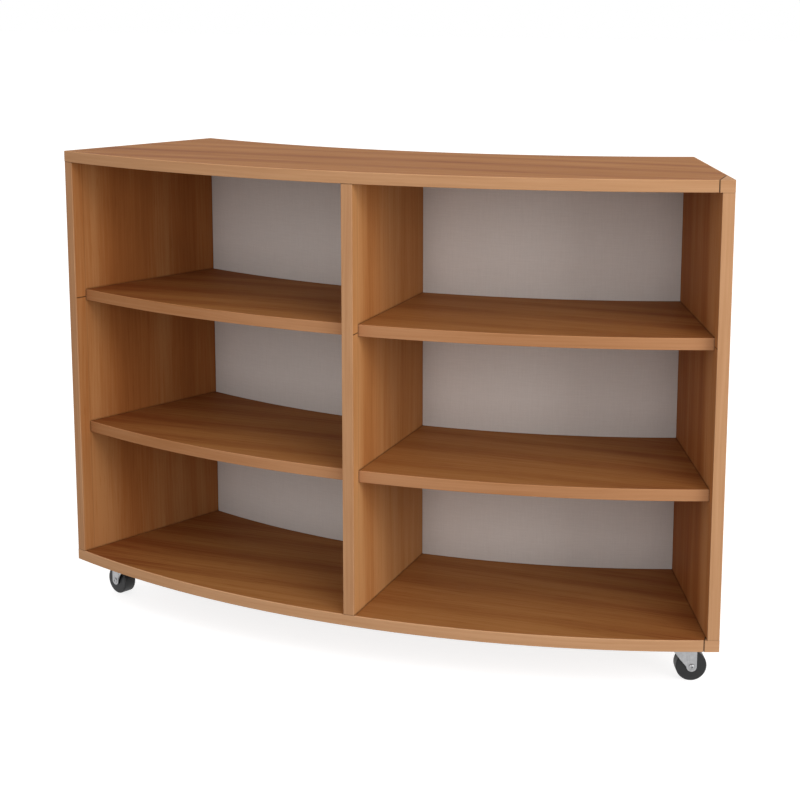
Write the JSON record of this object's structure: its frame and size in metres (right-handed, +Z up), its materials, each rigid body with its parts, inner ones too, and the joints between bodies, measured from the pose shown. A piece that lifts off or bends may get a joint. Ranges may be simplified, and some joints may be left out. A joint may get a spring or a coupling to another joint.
{
  "type": "mobile bookshelf",
  "caption": "Curved low bookshelf of wood-grain board with a divider, fixed shelves, a grey curved back panel and swivel castors.",
  "frame": {"origin": "centre of the plan's bounding box, at floor level under the wheels", "axes": "+Z up, the open convex front faces -Y, +X along the length to the right as seen from the front"},
  "size_m": [1.1618, 0.4192, 0.816],
  "materials": {
    "wood_grain_board": "satin wood-grain laminate",
    "wood_edging": "satin",
    "beech_dowel": "plain",
    "grey_panel": "matte grey laminate on hardboard",
    "zinc_steel": "bright zinc",
    "black_wheel": "matte"
  },
  "bodies": {
    "cabinet": {"top_board": "wood_grain_board", "bottom_board": "wood_grain_board", "left_side": "wood_grain_board", "right_side": "wood_grain_board", "divider": "wood_grain_board", "shelf_upper_left": "wood_grain_board", "shelf_upper_right": "wood_grain_board", "shelf_lower_left": "wood_grain_board", "shelf_lower_right": "wood_grain_board", "top_corner_block": "wood_grain_board", "bottom_corner_block": "wood_grain_board", "back_panel": "grey_panel", "side_lippings": "wood_grain_board", "divider_lippings": "wood_grain_board", "top_front_edging": "wood_edging", "top_rear_edging": "wood_edging", "top_end_edgings": "wood_edging", "bottom_front_edging": "wood_edging", "bottom_rear_edging": "wood_edging", "bottom_end_edgings": "wood_edging", "side_front_edgings": "wood_edging", "side_rear_edgings": "wood_edging", "divider_front_edging": "wood_edging", "shelf_front_edgings": "wood_edging", "top_dowels": "beech_dowel", "bottom_dowels": "beech_dowel", "shelf_dowels": "beech_dowel", "front_left_plate": "zinc_steel", "front_left_screws": "zinc_steel", "front_left_king_pin": "zinc_steel", "front_right_plate": "zinc_steel", "front_right_screws": "zinc_steel", "front_right_king_pin": "zinc_steel", "rear_left_plate": "zinc_steel", "rear_left_screws": "zinc_steel", "rear_left_king_pin": "zinc_steel", "rear_right_plate": "zinc_steel", "rear_right_screws": "zinc_steel", "rear_right_king_pin": "zinc_steel"},
    "front_left_swivel": {"front_left_fork": "zinc_steel", "front_left_balls": "zinc_steel", "front_left_axle": "zinc_steel", "front_left_bush": "zinc_steel"},
    "front_left_wheel": {"front_left_wheel": "black_wheel"},
    "front_right_swivel": {"front_right_fork": "zinc_steel", "front_right_balls": "zinc_steel", "front_right_axle": "zinc_steel", "front_right_bush": "zinc_steel"},
    "front_right_wheel": {"front_right_wheel": "black_wheel"},
    "rear_left_swivel": {"rear_left_fork": "zinc_steel", "rear_left_balls": "zinc_steel", "rear_left_axle": "zinc_steel", "rear_left_bush": "zinc_steel"},
    "rear_left_wheel": {"rear_left_wheel": "black_wheel"},
    "rear_right_swivel": {"rear_right_fork": "zinc_steel", "rear_right_balls": "zinc_steel", "rear_right_axle": "zinc_steel", "rear_right_bush": "zinc_steel"},
    "rear_right_wheel": {"rear_right_wheel": "black_wheel"}
  },
  "joints": [
    {"name": "front_left_swivel_turn", "type": "hinge", "parent": "cabinet", "child": "front_left_swivel", "pos_m": [-0.50664, -0.04892, 0.065], "axis": [0, 0, 1], "continuous": true},
    {"name": "front_left_wheel_spin", "type": "hinge", "parent": "front_left_swivel", "child": "front_left_wheel", "pos_m": [-0.52518, -0.04142, 0.025], "axis": [0.3749, 0.9271, 0], "continuous": true},
    {"name": "front_right_swivel_turn", "type": "hinge", "parent": "cabinet", "child": "front_right_swivel", "pos_m": [0.50664, -0.04892, 0.065], "axis": [0, 0, 1], "continuous": true},
    {"name": "front_right_wheel_spin", "type": "hinge", "parent": "front_right_swivel", "child": "front_right_wheel", "pos_m": [0.52518, -0.04142, 0.025], "axis": [-0.3749, 0.9271, 0], "continuous": true},
    {"name": "rear_left_swivel_turn", "type": "hinge", "parent": "cabinet", "child": "rear_left_swivel", "pos_m": [-0.43683, 0.1237, 0.065], "axis": [0, 0, 1], "continuous": true},
    {"name": "rear_left_wheel_spin", "type": "hinge", "parent": "rear_left_swivel", "child": "rear_left_wheel", "pos_m": [-0.45537, 0.1312, 0.025], "axis": [0.3749, 0.9271, 0], "continuous": true},
    {"name": "rear_right_swivel_turn", "type": "hinge", "parent": "cabinet", "child": "rear_right_swivel", "pos_m": [0.43683, 0.1237, 0.065], "axis": [0, 0, 1], "continuous": true},
    {"name": "rear_right_wheel_spin", "type": "hinge", "parent": "rear_right_swivel", "child": "rear_right_wheel", "pos_m": [0.45537, 0.1312, 0.025], "axis": [-0.3749, 0.9271, 0], "continuous": true}
  ]
}
